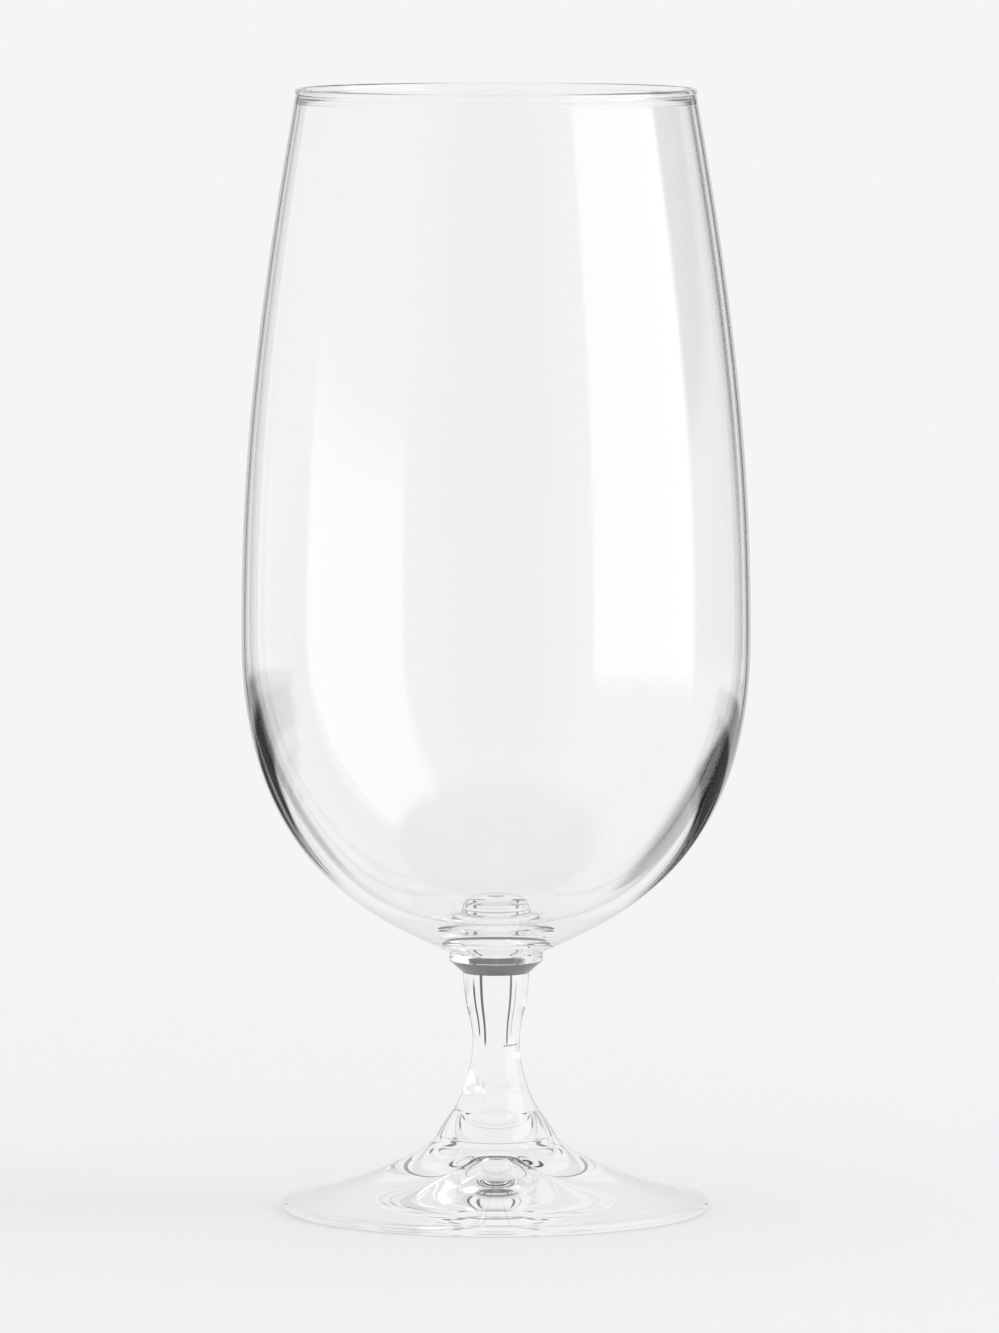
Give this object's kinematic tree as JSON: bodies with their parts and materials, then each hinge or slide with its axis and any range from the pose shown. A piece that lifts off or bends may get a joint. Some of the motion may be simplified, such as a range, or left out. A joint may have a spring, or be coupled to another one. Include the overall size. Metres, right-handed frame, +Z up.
{
  "type": "water goblet",
  "caption": "Tall clear-glass water goblet: tapered bowl with a rounded lip, a sharp-edged collar, a short waisted stem and a sloping round foot.",
  "frame": {"origin": "centre of the foot's standing plane, on the axis of the glass", "axes": "+Z runs up the axis of the glass; the shape is round, so +X and +Y are free"},
  "size_m": [0.0892, 0.0892, 0.197],
  "materials": {
    "clear_glass": "polished"
  },
  "bodies": {
    "root": {"foot": "clear_glass", "foot_collar": "clear_glass", "stem": "clear_glass", "bowl_collar": "clear_glass", "bowl": "clear_glass"}
  },
  "joints": []
}
